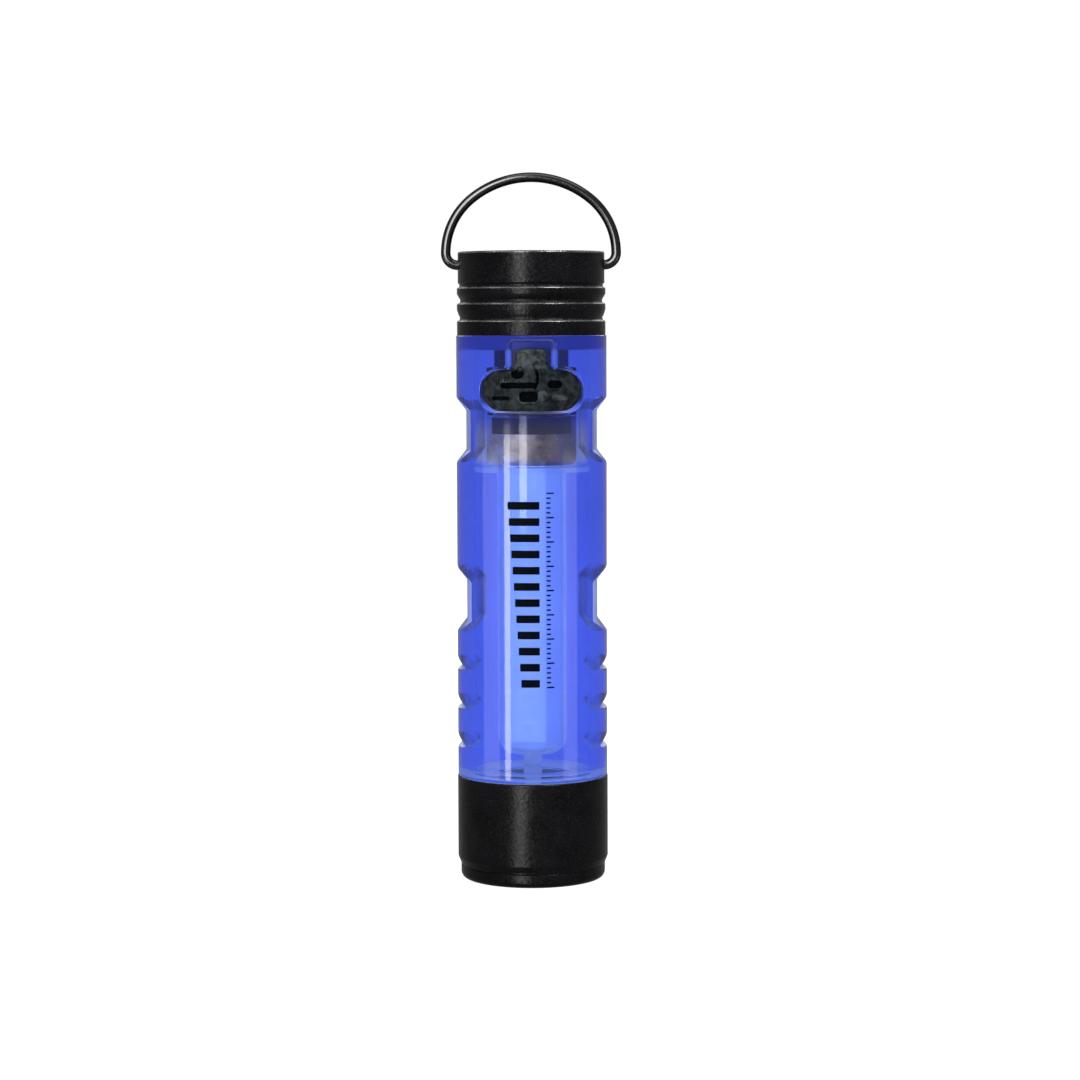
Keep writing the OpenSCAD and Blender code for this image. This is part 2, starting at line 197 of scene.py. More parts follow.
# ---------------------------------------------------------------- material helpers
class Nodes:
    """A short way to write a material's node tree; coordinates come out in millimetres."""

    def __init__(self, name):
        self.material = bpy.data.materials.new(name)
        self.material.use_nodes = True
        self.tree = self.material.node_tree
        self.shader = self.tree.nodes["Principled BSDF"]
        coords = self.add("ShaderNodeTexCoord")
        scale = self.add("ShaderNodeMapping")
        scale.inputs["Scale"].default_value = (1000, 1000, 1000)
        self.link(coords.outputs["Object"], scale.inputs["Vector"])
        self.mm = scale.outputs["Vector"]

    def add(self, kind, **values):
        node = self.tree.nodes.new(kind)
        for key, value in values.items():
            setattr(node, key, value)
        return node

    def link(self, a, b):
        self.tree.links.new(a, b)

    def noise(self, scale, detail=2.0, rough=0.5, stretch=None):
        node = self.add("ShaderNodeTexNoise")
        node.inputs["Scale"].default_value = scale
        node.inputs["Detail"].default_value = detail
        node.inputs["Roughness"].default_value = rough
        source = self.mm
        if stretch:
            extra = self.add("ShaderNodeMapping")
            extra.inputs["Scale"].default_value = stretch
            self.link(self.mm, extra.inputs["Vector"])
            source = extra.outputs["Vector"]
        self.link(source, node.inputs["Vector"])
        return node.outputs["Fac"]

    def ramp(self, value, low, high, start=0.3, end=0.7):
        node = self.add("ShaderNodeMapRange")
        node.inputs["From Min"].default_value = start
        node.inputs["From Max"].default_value = end
        node.inputs["To Min"].default_value = low
        node.inputs["To Max"].default_value = high
        self.link(value, node.inputs["Value"])
        return node.outputs["Result"]

    def mix(self, factor, a, b):
        node = self.add("ShaderNodeMix", data_type="RGBA")
        for socket, colour in (("A", a), ("B", b)):
            slot = [s for s in node.inputs if s.name == socket and s.type == "RGBA"][0]
            if isinstance(colour, tuple):
                slot.default_value = (*colour[:3], 1)
            else:
                self.link(colour, slot)
        self.link(factor, node.inputs["Factor"])
        return [s for s in node.outputs if s.type == "RGBA"][0]

    def math(self, operation, a, b):
        node = self.add("ShaderNodeMath", operation=operation)
        for i, value in enumerate((a, b)):
            if isinstance(value, (int, float)):
                node.inputs[i].default_value = value
            else:
                self.link(value, node.inputs[i])
        return node.outputs[0]

    def bump(self, height, strength, depth_mm, before=None):
        node = self.add("ShaderNodeBump")
        node.inputs["Strength"].default_value = strength
        node.inputs["Distance"].default_value = depth_mm * MM
        self.link(height, node.inputs["Height"])
        if before is not None:
            self.link(before, node.inputs["Normal"])
        return node.outputs["Normal"]

    def set(self, **values):
        for key, value in values.items():
            socket = self.shader.inputs[key.replace("_", " ")]
            if isinstance(value, (int, float)):
                socket.default_value = value
            elif isinstance(value, tuple):
                socket.default_value = (*value[:3], 1)
            else:
                self.link(value, socket)
        return self


# every finished material, by name
M = {}


def worked(name, dark, light, rough, spread, patch, grain, strength, depth, **values):
    """Adds to M: colour that drifts between two tones, roughness that varies, and a fine grain."""
    n = Nodes(name)
    tone = n.mix(n.ramp(n.noise(patch, 4), 0, 1), dark, light)
    fine = n.noise(grain, 3, 0.6)
    n.set(Base_Color=tone, Roughness=n.ramp(n.noise(patch * 3, 3), rough - spread, rough + spread),
          Normal=n.bump(fine, strength, depth), **values)
    M[name] = n.material


# ---------------------------------------------------------------- materials
def black_metal(name, turned, low, high, edges=()):
    """Sand-blasted and anodised black, with grains that glint and turning lines; edges are heights
    where a ring's corner gets more gloss and a painted highlight, a line of lighter colour."""
    n = Nodes(name)
    rough, shine = 0.25, 0.08
    grain = n.noise(3.8, 2, 0.6)
    speck = n.ramp(n.noise(7.5, 1, 0.4), 0, 1, 0.62, 0.74)
    drift = n.ramp(n.noise(0.35, 3), 0, 1)
    tone = n.mix(drift, low, high)
    tone = n.mix(n.math("MULTIPLY", speck, 0.16), tone, (0.040, 0.043, 0.045))
    rough_value = n.ramp(grain, rough - 0.10, rough + 0.12)
    if edges:
        # painted highlight lines: at each height the colour is made lighter, besides lower roughness and
        # more gloss
        place = n.add("ShaderNodeSeparateXYZ")
        n.link(n.mm, place.inputs["Vector"])
        edge_gloss_and_painted_highlight = None
        for height in edges:
            away = n.math("ABSOLUTE", n.math("SUBTRACT", place.outputs["Z"], height), 0)
            line = n.ramp(away, 1, 0, 0.05, 0.11)
            edge_gloss_and_painted_highlight = line if edge_gloss_and_painted_highlight is None else n.math("MAXIMUM", edge_gloss_and_painted_highlight, line)
        edge_gloss_and_painted_highlight = n.math("MULTIPLY", edge_gloss_and_painted_highlight, n.ramp(n.noise(1.2, 3), 0.35, 1.0))
        tone = n.mix(edge_gloss_and_painted_highlight, tone, (0.035, 0.035, 0.037))
        rough_value = n.math("SUBTRACT", rough_value, n.math("MULTIPLY", edge_gloss_and_painted_highlight, 0.12))
        shine = n.math("ADD", n.math("MULTIPLY", edge_gloss_and_painted_highlight, 0.65), shine)
    lines = n.noise(1.0, 2, 0.5, stretch=(0.05, 0.05, 9.0))
    first = n.bump(lines, turned, 0.012)
    n.set(Base_Color=tone, Metallic=0.0, Specular_IOR_Level=shine, Roughness=rough_value,
          Normal=n.bump(grain, 0.50, 0.06, first))
    return n.material


# heights of the painted highlight lines on the cap's ring corners and its top edge
PAINTED_HIGHLIGHT_HEIGHTS = [TUBE_TOP + h for h in (1.47, 3.22, 4.82)] + [BODY_TOP - 0.125]
M["head_black"] = black_metal("head_black", 0.05, (0.0008, 0.0008, 0.001), (0.0024, 0.0024, 0.0028))
M["cap_black"] = black_metal("cap_black", 0.12, (0.0008, 0.0008, 0.001), (0.002, 0.002, 0.0024),
                             PAINTED_HIGHLIGHT_HEIGHTS)


def bail_black():
    """Black lacquer on wire, glossy along the middle and dull where it turns away."""
    n = Nodes("bail_black")
    tone = n.mix(n.ramp(n.noise(1.5, 3), 0, 1), (0.001, 0.001, 0.001), (0.003, 0.003, 0.0035))
    edge = n.add("ShaderNodeLayerWeight")
    edge.inputs["Blend"].default_value = 0.5
    n.set(Base_Color=tone, Specular_IOR_Level=n.ramp(edge.outputs["Facing"], 0.6, 0.03, 0.15, 0.5),
          Roughness=n.ramp(n.noise(4.0, 3), 0.12, 0.20), Normal=n.bump(n.noise(3.0, 2), 0.03, 0.01))
    return n.material


M["bail_black"] = bail_black()


def blue_plastic():
    """The outside carries the blue, the bore is clear, the cuts are frosted and painted paler where
    seen edge-on, a painted highlight, the wall in front of the cell is almost clear, and the top,
    where the cap goes in, is painted a deeper and duller blue, as painted shade of the joint."""
    n = Nodes("clear_blue")
    drift = n.ramp(n.noise(0.12, 3), 0, 1)
    tone = n.mix(drift, (0.040, 0.083, 0.69), (0.054, 0.105, 0.76))
    edge = n.add("ShaderNodeLayerWeight")
    edge.inputs["Blend"].default_value = 0.35
    tone = n.mix(n.ramp(edge.outputs["Facing"], 0, 0.9, 0.05, 0.5), tone, (0.018, 0.042, 0.50))
    place = n.add("ShaderNodeSeparateXYZ")
    n.link(n.mm, place.inputs["Vector"])
    front = n.ramp(place.outputs["Y"], 0, 1, -5.0, -5.6)
    low = n.ramp(place.outputs["Z"], 0, 1, CLEAR_LOW + 0.2, CLEAR_LOW + 0.7)
    high = n.ramp(place.outputs["Z"], 1, 0, CLEAR_HIGH - 1.0, CLEAR_HIGH + 1.2)
    window = n.math("MULTIPLY", n.math("MULTIPLY", front, low), high)
    tone = n.mix(n.math("MULTIPLY", window, 0.85), tone, (0.42, 0.385, 0.37))
    flat = n.add("ShaderNodeCombineXYZ")
    n.link(place.outputs["X"], flat.inputs["X"])
    n.link(place.outputs["Y"], flat.inputs["Y"])
    length = n.add("ShaderNodeVectorMath", operation="LENGTH")
    n.link(flat.outputs["Vector"], length.inputs[0])
    radius = length.outputs["Value"]
    tone = n.mix(n.ramp(radius, 1, 0, BORE_R + 0.1, BORE_R + 0.4), tone, (0.93, 0.95, 0.99))
    cuts = n.math("MULTIPLY", n.ramp(radius, 1, 0, TUBE_R - 0.09, TUBE_R - 0.03),
                  n.ramp(radius, 0, 1, BORE_R + 0.3, BORE_R + 0.5))
    # painted highlight: the cuts are made paler where seen edge-on
    cut_edge_painted_highlight = n.math("MULTIPLY", cuts, n.ramp(edge.outputs["Facing"], 0, 0.95, 0.15, 0.55))
    tone = n.mix(cut_edge_painted_highlight, tone, (0.80, 0.85, 0.97))
    smooth = n.ramp(n.noise(0.6, 3), 0.04, 0.09)
    waves = n.noise(0.55, 2, 0.5, stretch=(1, 1, 0.35))
    fine = n.noise(14.0, 2)
    # painted shade: the top, where the cap's spigot sits inside, is made darker and less clear
    joint_painted_shade = n.ramp(place.outputs["Z"], 0, 0.62, TUBE_TOP - 1.55, TUBE_TOP - 1.2)
    tone = n.mix(joint_painted_shade, tone, (0.006, 0.020, 0.52))
    n.set(Base_Color=tone, IOR=1.5, Transmission_Weight=n.math("SUBTRACT", 0.97, joint_painted_shade),
          Roughness=n.math("ADD", smooth, n.math("MULTIPLY", cuts, 0.26)),
          Normal=n.bump(fine, 0.05, 0.01, n.bump(waves, 0.06, 0.05)))
    return n.material


def clear_plastic(name, tint, rough, weight, glow=0.0):
    """Almost colourless moulding, with a painted glow, a little cool light given off, where glow is above
    zero.
    """
    n = Nodes(name)
    tone = n.mix(n.ramp(n.noise(0.3, 3), 0, 1), tint, tuple(min(1.0, c * 1.04) for c in tint))
    n.set(Base_Color=tone, IOR=1.49, Transmission_Weight=weight,
          Roughness=n.ramp(n.noise(0.8, 3), rough * 0.7, rough * 1.3),
          Normal=n.bump(n.noise(2.0, 2), 0.05, 0.02), Emission_Color=(0.85, 0.98, 1.0),
          Emission_Strength=glow)
    return n.material


def rubber(name, dark, light, rough=0.62, raised=None):
    """Matt rubber; with a raised colour, the mesh's tone layer says how worn each place is, and also
    carries painted highlights and painted shade.
    """
    n = Nodes(name)
    tone = n.mix(n.ramp(n.noise(0.9, 4), 0, 1), dark, light)
    gloss = 0.4
    if raised:
        layer = n.add("ShaderNodeAttribute", attribute_name="tone")
        patches = n.ramp(n.noise(1.6, 4, 0.65), 0.0, 1.5, 0.38, 0.62)
        # the tone layer carries wear and painted light: highlights on edges, shade in grooves
        wear_and_painted_light = n.math("MULTIPLY", layer.outputs["Fac"], patches)
        tone = n.mix(wear_and_painted_light, tone, raised)
        gloss = n.math("ADD", n.math("MULTIPLY", layer.outputs["Fac"], 0.35), 0.01)
    dust = n.ramp(n.noise(6.0, 2), 0, 0.5, 0.58, 0.72)
    tone = n.mix(n.math("MULTIPLY", dust, 0.5), tone, (0.030, 0.038, 0.040))
    grain = n.noise(6.5, 3, 0.6)
    n.set(Base_Color=tone, Specular_IOR_Level=gloss, Roughness=n.ramp(grain, rough - 0.16, rough + 0.1),
          Normal=n.bump(grain, 0.5, 0.03))
    return n.material


M["clear_blue"] = blue_plastic()
# the light chamber gets a painted glow
M["chamber_clear_painted_glow"] = clear_plastic("chamber_clear_painted_glow", (0.88, 0.92, 0.98), 0.14, 0.72, 0.14)
M["lens_clear"] = clear_plastic("lens_clear", (0.95, 0.97, 0.98), 0.03, 1.0)
M["cover_rubber"] = rubber("cover_rubber", (0.0005, 0.0010, 0.0014), (0.002, 0.0035, 0.0045), 0.42,
                           (0.050, 0.066, 0.080))
M["button_rubber"] = rubber("button_rubber", (0.003, 0.003, 0.0035), (0.009, 0.009, 0.010))
M["seal_rubber"] = rubber("seal_rubber", (0.008, 0.008, 0.008), (0.016, 0.016, 0.016), 0.5)
worked("print_black", (0.0004, 0.0015, 0.0025), (0.001, 0.003, 0.005), 0.5, 0.1, 2.0, 9.0, 0.2, 0.01,
       Specular_IOR_Level=0.04)
worked("nickel", (0.50, 0.47, 0.42), (0.66, 0.63, 0.57), 0.30, 0.1, 0.7, 5.0, 0.12, 0.01, Metallic=1.0)


def cell_steel():
    """Bare steel with stains, and painted shade: darker and purple towards +X."""
    n = Nodes("can_steel")
    tone = n.mix(n.ramp(n.noise(0.5, 4, 0.6), 0, 1), (0.40, 0.38, 0.33), (1.0, 0.98, 0.91))
    place = n.add("ShaderNodeSeparateXYZ")
    n.link(n.mm, place.inputs["Vector"])
    # painted shade: the steel is made darker and purple towards +X
    edge = n.math("ADD", place.outputs["X"], n.ramp(n.noise(0.7, 3), -1.2, 1.2))
    tone = n.mix(n.ramp(edge, 0, 0.85, -1.0, 1.2), tone, (0.11, 0.09, 0.15))
    n.set(Base_Color=tone, Metallic=0.85, Roughness=n.ramp(n.noise(1.3, 3), 0.24, 0.44),
          Normal=n.bump(n.noise(4.0, 3, 0.6), 0.2, 0.015))
    return n.material


M["can_steel"] = cell_steel()
worked("shell_steel", (0.55, 0.56, 0.58), (0.66, 0.67, 0.69), 0.26, 0.08, 0.9, 7.0, 0.15, 0.01,
       Metallic=1.0)
worked("brass", (0.50, 0.35, 0.13), (0.62, 0.46, 0.20), 0.3, 0.08, 0.8, 6.0, 0.15, 0.01, Metallic=1.0)
worked("mirror", (0.82, 0.82, 0.84), (0.88, 0.88, 0.9), 0.10, 0.04, 0.6, 4.0, 0.25, 0.02, Metallic=1.0)
worked("film_dark", (0.010, 0.010, 0.022), (0.022, 0.022, 0.045), 0.5, 0.1, 1.2, 5.0, 0.2, 0.02)
worked("board_dark", (0.010, 0.028, 0.20), (0.018, 0.045, 0.30), 0.4, 0.1, 1.4, 7.0, 0.25, 0.02)
worked("board_green", (0.012, 0.06, 0.03), (0.02, 0.09, 0.045), 0.4, 0.1, 1.4, 7.0, 0.25, 0.02)
worked("board_white", (0.72, 0.72, 0.68), (0.82, 0.82, 0.79), 0.45, 0.1, 1.0, 6.0, 0.2, 0.02)
worked("chip_black", (0.010, 0.010, 0.010), (0.022, 0.022, 0.022), 0.55, 0.1, 2.0, 9.0, 0.35, 0.02)
worked("ferrite", (0.03, 0.03, 0.032), (0.055, 0.055, 0.058), 0.6, 0.1, 1.6, 8.0, 0.4, 0.03)
worked("white_plastic", (0.66, 0.65, 0.61), (0.75, 0.74, 0.70), 0.4, 0.1, 1.2, 6.0, 0.2, 0.02)
worked("phosphor", (0.80, 0.58, 0.14), (0.88, 0.68, 0.22), 0.45, 0.1, 2.5, 9.0, 0.3, 0.03)


def white_with_painted_glow(name, strength):
    """White plastic with a painted glow, a little cool light given off."""
    n = Nodes(name)
    tone = n.mix(n.ramp(n.noise(0.4, 3), 0, 1), (0.80, 0.80, 0.76), (0.90, 0.90, 0.87))
    n.set(Base_Color=tone, Roughness=n.ramp(n.noise(2.0, 3), 0.35, 0.6),
          Normal=n.bump(n.noise(5.0, 2), 0.2, 0.02), Emission_Color=(0.85, 0.98, 1.0),
          Emission_Strength=strength)
    return n.material


# painted glow on the lantern strip, the floor's white face and the flex
M["strip_painted_glow"] = white_with_painted_glow("strip_painted_glow", 1.25)
M["floor_white_painted_glow"] = white_with_painted_glow("floor_white_painted_glow", 0.45)
M["flex_white_painted_glow"] = white_with_painted_glow("flex_white_painted_glow", 0.35)

FINISH = {
    "front_lens": "lens_clear", "lens_seal": "seal_rubber", "reflector": "mirror",
    "lamp_board": "board_white", "lamp_package": "white_plastic", "lamp_dome": "phosphor",
    "lantern_led": "phosphor", "head_seal": "seal_rubber", "light_chamber": "chamber_clear_painted_glow",
    "lantern_strip": "strip_painted_glow", "lamp_flex": "flex_white_painted_glow", "battery_cell": "can_steel",
    "cell_gasket": "seal_rubber", "cell_insulator": "film_dark", "plus_strip": "nickel",
    "minus_strip": "nickel", "main_board": "board_dark", "charger_chip": "chip_black",
    "power_coil": "ferrite", "charge_led": "white_plastic", "port_shell": "shell_steel",
    "port_tongue": "chip_black", "tail_seal": "seal_rubber", "switch_ring": "brass",
    "switch_board": "board_green", "switch_housing": "chip_black", "switch_plunger": "white_plastic",
    "body_tube": "clear_blue", "lamp_head": "head_black", "bezel_ring": "head_black",
    "tail_cap": "cap_black", "tail_button": "button_rubber", "bail_wire": "bail_black",
    "cover_tab": "cover_rubber", "cover_flap": "cover_rubber",
}
for node, finish in FINISH.items():
    for slot in frame["nodes"][node].material_slots:
        slot.material = M[finish]


# ---------------------------------------------------------------- fields: below zero is inside
def smooth_step(x):
    x = np.clip(x, 0, 1)
    return x * x * (3 - 2 * x)


def soft_min(a, b, k):
    h = np.clip(0.5 + 0.5 * (b - a) / k, 0, 1)
    return b * (1 - h) + a * h - k * h * (1 - h)


def capsule(x, z, width, height):
    half = (width - height) / 2
    return np.hypot(np.maximum(np.abs(x) - half, 0), z) - height / 2


def box_field(x, z, width, height, corner):
    qx, qz = np.abs(x) - width / 2 + corner, np.abs(z) - height / 2 + corner
    return np.hypot(np.maximum(qx, 0), np.maximum(qz, 0)) + np.minimum(np.maximum(qx, qz), 0) - corner


# ---------------------------------------------------------------- the clear tube
# middles of the two deep cuts on each side, and lowest points of the three notches below them
SCALLOPS = (TUBE_TOP - 9.65, 29.0)
NOTCHES = (14.0, 18.0, 22.0)
# width and height of the port cover's lid, and the gap left round it
COVER = (10.05, 4.1)
GAP = 0.14


def side_depth(z):
    """How deep the cuts on the two sides go at a height."""
    flat, slope = 2.0, 1.3
    deep, slope_up, slope_down = 0.58, 1.75, 0.5
    depth = np.zeros_like(z)
    for middle in SCALLOPS:
        run = (flat + slope - np.abs(z - middle)) / slope
        depth = np.maximum(depth, np.clip(run, 0, 1))
    for low in NOTCHES:
        above = 1 - (z - low) / (slope_up * deep)
        below = 1 + (z - low) / (slope_down * deep)
        depth = np.maximum(depth, deep * np.clip(np.minimum(above, below), 0, 1))
    return depth


def pocket_field(x, z):
    """The recess that the port cover lies in."""
    wide, tall = COVER[0] + 2 * GAP, COVER[1] + 2 * GAP
    lid = capsule(x, z - PORT_Z, wide, tall)
    lower = box_field(x, z - PORT_Z, wide, tall, 1.7)
    lid = np.where(z < PORT_Z, lower, lid)
    tab = box_field(x, z - (TUBE_TOP - 2.4), 4.95, 4.0, 0.6)
    neck = box_field(x, z - (PORT_Z + TUBE_TOP - 0.6) / 2, 4.95, TUBE_TOP - 3.4 - PORT_Z, 0.05)
    return np.minimum(lid, np.minimum(tab, neck))


def build_tube():
    # spacing of the mesh round the port, on the side cuts and elsewhere
    fine, medium, coarse = 0.11, 0.12, 0.4
    scallop_reach, notch_zone = 3.7, (13.2, 23.6)
    # angle is measured from the front, towards +X; up to edge on both sides the mesh is fine
    edge = 0.80
    count_fine = int(2 * edge * TUBE_R / fine)
    fronts = np.linspace(-edge, edge, count_fine, endpoint=False)
    rest = np.linspace(edge, 2 * math.pi - edge, 210, endpoint=False)
    angle = np.concatenate([fronts, rest])
    floor_top, bottom = HEAD_TOP + FLOOR_THICK, HEAD_TOP + SEAM
    rows = [floor_top + 0.25]
    z = rows[0]
    while z < TUBE_TOP - 0.12:
        near = any(abs(z - m) < scallop_reach for m in SCALLOPS) or notch_zone[0] < z < notch_zone[1]
        z += fine if z > PORT_Z - 2.9 else (medium if near else coarse)
        rows.append(z)
    rows = np.array([r for r in rows if r < TUBE_TOP - 0.1] + [TUBE_TOP - 0.1])
    a, z = np.meshgrid(angle, rows)
    # side cuts: distance out along each ray to the wall of a round cutter, whose axis lies swing away
    swing = 13.0
    full = swing + TUBE_R
    c = np.abs(np.sin(a))
    s = np.cos(a)
    blur = 0.09
    depth = sum(side_depth(z + d) for d in (-blur, -blur / 2, 0, blur / 2, blur)) / 5
    side = -swing * c + np.sqrt((full - depth) ** 2 - (swing * s) ** 2)
    side = np.where(c > 0.3, side, TUBE_R + 1)
    side = np.where(depth < 0.004, TUBE_R + 1, side)
    outer = soft_min(side, np.full_like(side, TUBE_R), 0.10)
    outer = np.where(side > TUBE_R + 0.3, TUBE_R, outer)
    x = outer * np.sin(a)
    front = np.cos(a) > 0.2
    field = np.where(front, pocket_field(x, z), 9.0)
    sink = smooth_step((0.10 - field) / 0.30)
    outer = outer * (1 - sink) + FLOOR_R * sink
    # inner wall with the flat pad round the port
    inner = np.full_like(outer, BORE_R)
    pad = PAD_Y / np.maximum(np.cos(a), 0.2)
    inside = smooth_step((2.35 - np.abs(z - PORT_Z + 0.1)) / 0.12 + 0.5)
    flat = np.where(front, np.minimum(pad, BORE_R), BORE_R)
    inner = inner * (1 - inside) + flat * inside

    verts, faces = [], []
    cols = len(angle)

    def ring(r, h):
        start = len(verts)
        r = np.broadcast_to(r, (cols,))
        h = np.broadcast_to(h, (cols,))
        for t, rr, hh in zip(angle, r, h):
            verts.append([rr * math.sin(t), -rr * math.cos(t), float(hh)])
        return start

    def join(lower, upper, skip=None):
        for k in range(cols):
            if skip is not None and skip[k]:
                continue
            m = (k + 1) % cols
            faces.append((lower + k, lower + m, upper + m, upper + k))

    hole_x = FLOOR_R * np.sin(a)
    hole = capsule(hole_x, z - PORT_Z, *HOLE)
    hole = np.where(front, hole, 9.0)
    # cells whose middle lies in the port hole are left out, and their edge points go onto its outline
    middle = (hole[:-1] + hole[1:]) / 2
    middle = (middle + np.roll(middle, -1, axis=1)) / 2
    gone = middle < 0
    touched = np.zeros(hole.shape, bool)
    kept = np.zeros(hole.shape, bool)
    for dr in (0, 1):
        for dc in (0, 1):
            part = np.roll(gone, dc, axis=1)
            touched[dr:dr + gone.shape[0]] |= part
            kept[dr:dr + gone.shape[0]] |= ~part
    rim = touched & kept
    half, hole_r, pad_half = (HOLE[0] - HOLE[1]) / 2, HOLE[1] / 2, 4.08
    outer_rings, inner_rings = [], []
    for i in range(len(rows)):
        outer_rings.append(ring(outer[i], rows[i]))
        inner_rings.append(ring(inner[i], rows[i]))
        for k in np.nonzero(rim[i])[0]:
            px, pz = hole_x[i, k], rows[i] - PORT_Z
            cx = max(-half, min(half, px))
            dx, dz = px - cx, pz
            size = math.hypot(dx, dz)
            nx, nz = cx + dx / size * hole_r, dz / size * hole_r
            ro, ri = outer[i, k], inner[i, k]
            verts[outer_rings[i] + k] = [nx, -math.sqrt(max(ro * ro - nx * nx, 0.01)), nz + PORT_Z]
            deep = min(math.sqrt(max(ri * ri - nx * nx, 0.01)), BORE_R)
            if abs(nx) < pad_half:
                deep = PAD_Y
            verts[inner_rings[i] + k] = [nx, -deep, nz + PORT_Z]
    for i in range(len(rows) - 1):
        join(outer_rings[i], outer_rings[i + 1], gone[i])
        join(inner_rings[i + 1], inner_rings[i], gone[i])
    # walls of the port hole
    for i in range(gone.shape[0]):
        for k in np.nonzero(gone[i])[0]:
            m = (k + 1) % cols
            sides = ((i, k - 1, (i, k), (i + 1, k)), (i, (k + 1) % cols, (i, m), (i + 1, m)),
                     (i - 1, k, (i, k), (i, m)), (i + 1, k, (i + 1, k), (i + 1, m)))
            for ni, nk, p, q in sides:
                if not gone[ni, nk]:
                    faces.append((outer_rings[p[0]] + p[1], outer_rings[q[0]] + q[1],
                                  inner_rings[q[0]] + q[1], inner_rings[p[0]] + p[1]))
    # top edge, with small rounds
    top = [ring(TUBE_R - 0.03, TUBE_TOP - 0.04), ring(TUBE_R - 0.1, TUBE_TOP - SEAM),
           ring(BORE_R + 0.1, TUBE_TOP - SEAM), ring(BORE_R + 0.02, TUBE_TOP - 0.04)]
    chain = [outer_rings[-1], *top, inner_rings[-1]]
    for lower, upper in zip(chain, chain[1:]):
        join(lower, upper)
    # bottom: outer wall, spigot, floor with its hole, back up to the bore
    profile = [(TUBE_R, HEAD_TOP + 0.45), (TUBE_R, bottom + 0.08), (TUBE_R - 0.08, bottom),
               (6.6, bottom), (6.6, tube_lo[2] + 0.2), (6.4, tube_lo[2]), (5.4, tube_lo[2]),
               (5.4, bottom), (3.85, bottom), (3.75, bottom + 0.1), (3.75, floor_top - 0.1),
               (3.85, floor_top), (BORE_R - 0.25, floor_top), (BORE_R - 0.07, floor_top + 0.07)]
    chain = [outer_rings[0]] + [ring(r, h) for r, h in profile] + [inner_rings[0]]
    for lower, upper in zip(chain, chain[1:]):
        join(lower, upper)
    tube = make_object("tube_clear", verts, faces, M["clear_blue"])
    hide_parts("body_tube")


build_tube()


# ---------------------------------------------------------------- turned black parts
def build_cap():
    """Three rings under a plain band; z holds the heights of the grooves' corners between them."""
    base = cap_lo[2] + 1.45
    ring, band = cap_hi[0], 7.5
    z = [base + v for v in (1.45, 1.56, 1.80, 2.15, 2.58, 3.20, 3.31, 3.60, 3.88, 4.20, 4.80, 4.92,
                            5.13, 5.32)]
    outline = [(ring, base), (ring, z[0]), (7.34, z[1]), (7.29, z[2]), (7.46, z[3]), (ring, z[4]),
               (ring, z[5]), (7.30, z[6]), (7.25, z[7]), (7.43, z[8]), (ring, z[9]),
               (ring, z[10]), (7.36, z[11]), (7.33, z[12]), (band, z[13]),
               (band, BODY_TOP), (4.2, BODY_TOP), (4.2, BODY_TOP - 1.6), (4.75, BODY_TOP - 1.6),
               (4.75, base + 2.6), (5.0, base + 2.6), (5.0, cap_lo[2]), (5.85, cap_lo[2]),
               (5.85, base)]
    radii = [0.05, 0.20, 0.06, 0.08, 0.2, 0.22, 0.10, 0.06, 0.08, 0.2, 0.22, 0.10, 0.06, 0.06, 0.10,
             0.16, 0.12, 0.02, 0.0, 0.0, 0.0, 0.05, 0.05, 0.0]
    cap = lathe("cap_turned", rounded(outline, radii), M["cap_black"], None, 200)
    for side in (-1, 1):
        outline = [(0, -1.2), (0.55, -1.2), (0.55, 0.6), (0.75, 0.9), (0, 0.9)]
        # a stepped hole for the bail's end
        drill = lathe("drill", outline, M["cap_black"], None, 40)
        drill.matrix_world = (Matrix.Translation((side * 6.86 * MM, 0, PIVOT_Z * MM))
                              @ Matrix.Rotation(side * math.pi / 2, 4, "Y"))
        bpy.context.view_layer.update()
        cut(cap, drill)
    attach(cap, "body")
    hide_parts("tail_cap")


def build_head():
    """The head, and the bezel ring with its two spanner holes, which meet at the height of the lip."""
    lip = 1.4
    outline = [(7.44, lip + 0.04), (7.47, 1.62), (HEAD_R, 2.3), (HEAD_R, HEAD_TOP), (6.7, HEAD_TOP),
               (6.7, 8.0), (6.5, 8.0), (6.5, 7.0), (6.2, 7.0), (6.2, 3.4), (6.77, 3.4),
               (6.77, lip + 0.04)]
    radii = [0.05, 0.1, 0.25, 0.12, 0.03, 0, 0, 0, 0, 0, 0, 0.03]
    head = lathe("head_turned", rounded(outline, radii), M["head_black"], turns=200)
    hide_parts("lamp_head")
    outline = [(bezel_hi[0], lip), (bezel_hi[0], 0.0), (5.9, 0.0), (5.5, 0.4), (5.5, 0.8), (6.17, 0.8),
               (6.17, 3.2), (6.75, 3.2), (6.75, lip)]
    radii = [0.06, 0.9, 0.06, 0.05, 0.03, 0, 0.05, 0.05, 0]
    bezel = lathe("bezel_turned", rounded(outline, radii, 8), M["head_black"], None, 200)
    for side in (-1, 1):
        drill = lathe("drill", [(0, -0.3), (0.35, -0.3), (0.35, 0.5), (0, 0.5)], M["head_black"],
                      None, 32)
        drill.location = (side * 6.4 * MM, 0, 0)
        bpy.context.view_layer.update()
        cut(bezel, drill)
    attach(bezel, "body")
    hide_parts("bezel_ring")


